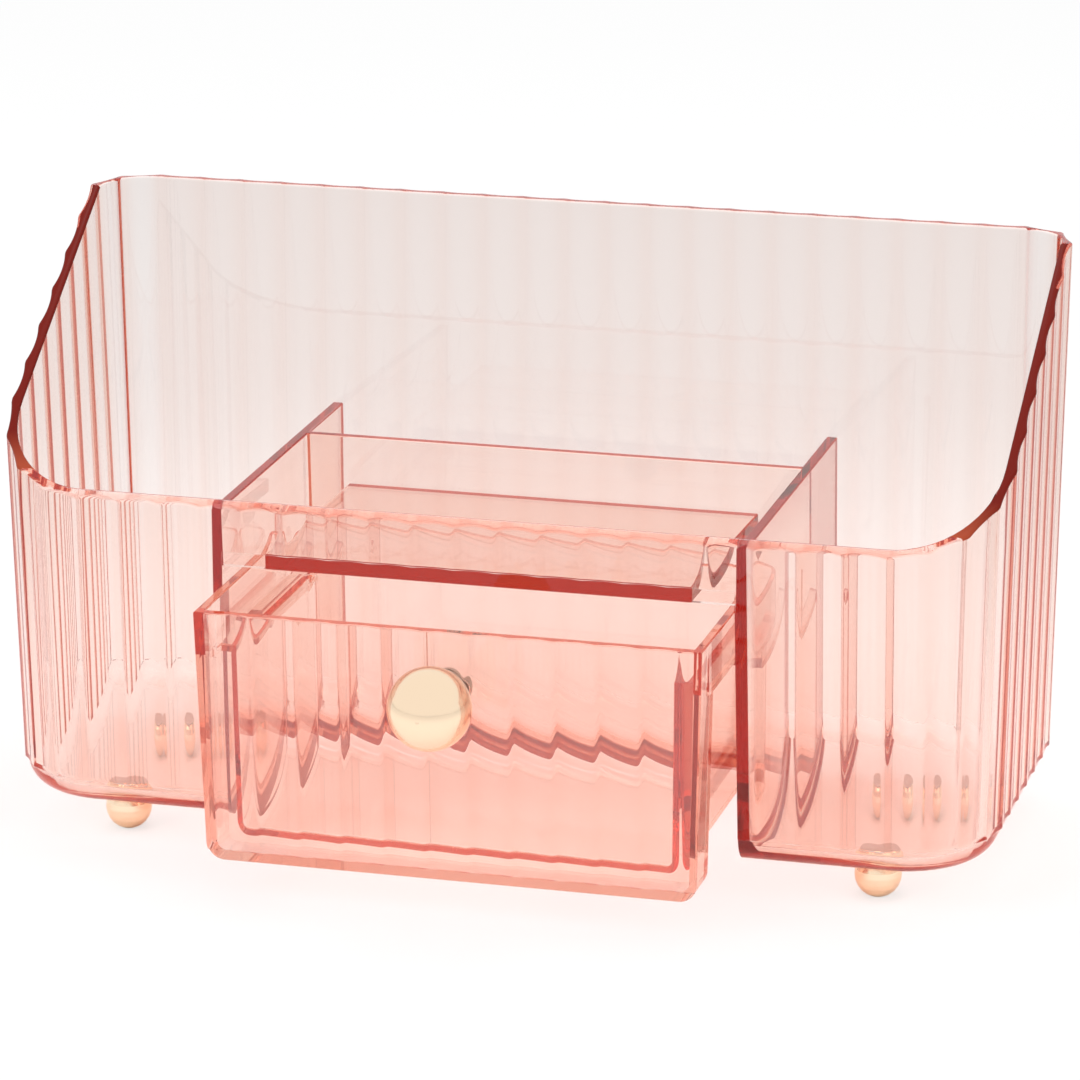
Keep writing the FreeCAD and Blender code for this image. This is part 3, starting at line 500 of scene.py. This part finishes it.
def drawer_skin():
    """Block with the drawer's fluted front, and a wide box behind it."""
    levels = np.array((BELOW_ALL, ABOVE_ALL))
    half = DRAWER_FLUTES / 2 * FRONT_PITCH
    start, end = np.array((-half, DRAWER_SETBACK)), np.array((half, DRAWER_SETBACK))
    outward = np.array((0, -1))
    raised = levels + BACK_TOP - DRAWER_TOP
    front = rounded_ridges(straight_flutes(start, end, outward, DRAWER_FLUTES, raised))
    front = front[:, RIDGE_STEPS:-RIDGE_STEPS]
    box = np.array(((half, DEPTH), (-half, DEPTH)))
    outline = np.concatenate((front, np.tile(box, (len(levels), 1, 1))), axis=1)
    return skin_block(outline, levels, DRAWER_MOVE)


def skin_block(outline, levels, move):
    """Closed block whose side follows the outline from level to level, with flat ends."""
    rows, columns = outline.shape[:2]
    points = np.empty((rows, columns, 3))
    points[:, :, :2] = outline
    points[:, :, 2] = levels[:, None]
    points += np.array(move)
    first = np.arange((rows - 1) * columns).reshape(rows - 1, columns)
    after = np.roll(first, -1, axis=1)
    sides = np.stack((first, after, after + columns, first + columns), axis=-1)
    bottom = np.arange(columns)[::-1]
    top = np.arange((rows - 1) * columns, rows * columns)
    faces = sides.reshape(-1, 4).tolist() + [bottom.tolist(), top.tolist()]
    return mesh_object("skin", points, faces)


def mesh_object(name, points, faces):
    """New object in the scene with these points and faces."""
    mesh = bpy.data.meshes.new(name)
    mesh.from_pydata(points.reshape(-1, 3).tolist(), [], faces)
    made = bpy.data.objects.new(name, mesh)
    SCENE.collection.objects.link(made)
    return made


# ---------------------------------------------------------------- moulded plastic pieces

def merge(form):
    """Merge the points of a mesh that coincide, and join its flat faces."""
    bmesh.ops.remove_doubles(form, verts=form.verts, dist=MERGE_DISTANCE)
    bmesh.ops.dissolve_limit(
        form, angle_limit=FLAT_ANGLE, verts=form.verts, edges=form.edges
    )


def merged_copy(node, name):
    """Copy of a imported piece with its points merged."""
    form = bmesh.new()
    form.from_mesh(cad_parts[node].data)
    merge(form)
    mesh = bpy.data.meshes.new(name)
    form.to_mesh(mesh)
    form.free()
    piece = bpy.data.objects.new(name, mesh)
    SCENE.collection.objects.link(piece)
    return piece


def trim(piece, skin):
    """Cut a piece down to what lies inside the skin, and delete the skin."""
    cut = piece.modifiers.new("trim", "BOOLEAN")
    cut.operation = "INTERSECT"
    cut.solver = "EXACT"
    cut.object = skin
    trimmed = bpy.data.meshes.new_from_object(
        piece.evaluated_get(bpy.context.evaluated_depsgraph_get())
    )
    piece.modifiers.clear()
    piece.data = trimmed
    bpy.data.objects.remove(skin)


def top_edges(form, on_rim):
    """Sharp outer edges along tops: those of sloping or high ones, or all the others."""
    found = []
    for edge in form.edges:
        if edge.calc_face_angle(0) < EDGE_ANGLE or not edge.is_convex:
            continue
        top = max(edge.link_faces, key=lambda face: face.normal.z)
        if top.normal.z < UPWARD:
            continue
        if on_rim == (top.normal.z < SLOPING or edge.verts[0].co.z > RIM_LEVEL):
            found.append(edge)
    return found


def merge_short(form, edges):
    """Merge the ends of the edges that are too short to be rounded."""
    ends = dict.fromkeys(
        end for edge in edges if edge.calc_length() < SHORT_EDGE for end in edge.verts
    )
    bmesh.ops.remove_doubles(form, verts=list(ends), dist=SHORT_EDGE)
    form.normal_update()


def round_edges(form, edges, radius):
    """Round some edges of a mesh, and return the new faces."""
    made = bmesh.ops.bevel(
        form, geom=edges, offset=radius, offset_type="OFFSET", segments=ROUND_SEGMENTS,
        profile=0.5, affect="EDGES", clamp_overlap=False,
    )
    form.normal_update()
    return made["faces"]


def round_rim(form, paint_shade):
    """Round the rim. If asked, give its slopes behind RIM_FRONT the second material, the rim's
    painted shade.
    """
    merge_short(form, top_edges(form, True))
    rim = top_edges(form, True)
    if paint_shade:
        for face in {face for edge in rim for face in edge.link_faces}:
            face.material_index = UPWARD < face.normal.z < SLOPING
    rounded = round_edges(form, rim, RIM_ROUNDING)
    if paint_shade:
        for face in rounded:
            face.material_index = face.calc_center_median().z < RIM_LEVEL
        keep_painted_shade_behind(form)


def keep_painted_shade_behind(form):
    """Cut the faces with the second material, the rim's painted shade, at RIM_FRONT, and keep it
    only behind that.
    """
    slopes = [face for face in form.faces if face.material_index]
    around = dict.fromkeys(part for face in slopes for part in (*face.edges, *face.verts))
    bmesh.ops.bisect_plane(
        form, geom=slopes + list(around), plane_co=(0, RIM_FRONT, 0), plane_no=(0, 1, 0)
    )
    for face in form.faces:
        if face.calc_center_median().y < RIM_FRONT:
            face.material_index = 0


def moulded_copy(node, name, body, materials, skins):
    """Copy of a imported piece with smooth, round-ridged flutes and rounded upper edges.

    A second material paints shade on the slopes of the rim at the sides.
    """
    piece = merged_copy(node, name)
    for skin in skins:
        trim(piece, skin)
    form = bmesh.new()
    form.from_mesh(piece.data)
    merge(form)
    form.normal_update()
    round_rim(form, len(materials) > 1)
    round_edges(form, top_edges(form, False), SMALL_ROUNDING)
    for face in form.faces:
        face.smooth = True
    for edge in form.edges:
        edge.smooth = edge.calc_face_angle(0) < EDGE_ANGLE
    piece.data.materials.clear()
    for material in materials:
        piece.data.materials.append(material)
    form.to_mesh(piece.data)
    form.free()
    shading = piece.modifiers.new("even_shading", "WEIGHTED_NORMAL")
    shading.keep_sharp = True
    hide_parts(node)
    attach(piece, body)


# ---------------------------------------------------------------- glue and metal pieces

def glue_drop(node, name, material):
    """Flat drop of cured glue in place of a packed glue disc, and inside it in height.

    At share v of the way from its top to its bottom, and at angle a, it reaches
    r(a) sin(pi v)^GLUE_POWER from its middle, where r(a) is GLUE_RADIUS with a few waves
    round it. Its height is half its thickness times cos(pi v).
    """
    low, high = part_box(node)
    centre = (np.array(low) + np.array(high)) / 2
    half = (high[2] - low[2]) / 2 - GLUE_GAP
    turn = np.linspace(0, 2 * math.pi, GLUE_POINTS, endpoint=False)
    share = np.linspace(0, 1, GLUE_RINGS + 2)[1:-1, None]
    waves = sum(size * np.sin(count * turn + start) for count, start, size in GLUE_WAVES)
    reach = GLUE_RADIUS * (1 + waves) * np.sin(math.pi * share) ** GLUE_POWER
    height = half * np.cos(math.pi * share) * np.ones_like(turn)
    rings = np.stack((reach * np.cos(turn), reach * np.sin(turn), height), axis=-1)
    ends = np.array(((0, 0, half), (0, 0, -half)))
    points = np.concatenate((rings.reshape(-1, 3), ends))
    top_end, bottom_end = len(points) - 2, len(points) - 1
    first = np.arange(reach.size - GLUE_POINTS).reshape(-1, GLUE_POINTS)
    after = np.roll(first, -1, axis=1)
    sides = np.stack((first, first + GLUE_POINTS, after + GLUE_POINTS, after), axis=-1)
    ring = np.arange(GLUE_POINTS)
    top = np.stack((np.full(GLUE_POINTS, top_end), ring, np.roll(ring, -1)), axis=-1)
    ring = ring + reach.size - GLUE_POINTS
    bottom = np.stack((np.full(GLUE_POINTS, bottom_end), np.roll(ring, -1), ring), axis=-1)
    faces = sides.reshape(-1, 4).tolist() + top.tolist() + bottom.tolist()
    drop = mesh_object(name, points + centre, faces)
    drop.data.shade_smooth()
    drop.data.materials.append(material)
    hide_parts(node)
    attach(drop, "holder")


def dress(node, material):
    """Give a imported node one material."""
    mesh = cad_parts[node].data
    mesh.materials.clear()
    mesh.materials.append(material)


# ---------------------------------------------------------------- the scene

SCENE.view_settings.view_transform = "Standard"
SCENE.cycles.max_bounces = MOST_BOUNCES
SCENE.cycles.transmission_bounces = MOST_BOUNCES
SCENE.cycles.transparent_max_bounces = MOST_OTHER_BOUNCES
SCENE.cycles.glossy_bounces = MOST_OTHER_BOUNCES
place_camera()
light_world()
lay_floor()
for name, place, size, power in LAMPS:
    place_lamp(name, place, size, power)

casing_plastic = clear_plastic(
    "clear_pink_plastic", CASING_DEPTH_COLOUR, CASING_DENSITY, CASING_LATE_RAY
)
drawer_plastic = clear_plastic(
    "drawer_pink_plastic", DRAWER_DEPTH_COLOUR, DRAWER_DENSITY, DRAWER_LATE_RAY
)
# opaque rim material with painted shade in place of the light lost along the walls
rim = painted_rim_shade()
gold = metal("polished_gold", GOLD_COLOUR, GOLD_ROUGHNESS)
steel = metal("screw_steel", STEEL_COLOUR, STEEL_ROUGHNESS)
glue = cured_glue()

moulded_copy(
    "casing", "clear_casing", "holder", (casing_plastic, rim), (flute_skin(), band_skin())
)
moulded_copy("drawer", "clear_drawer", "drawer_unit", (drawer_plastic,), (drawer_skin(),))
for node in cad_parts:
    if node in ("casing", "drawer"):
        continue
    if node.startswith("foot_pad"):
        glue_drop(node, node.replace("foot_pad", "glue"), glue)
    elif node == "knob_screw":
        dress(node, steel)
    else:
        dress(node, gold)
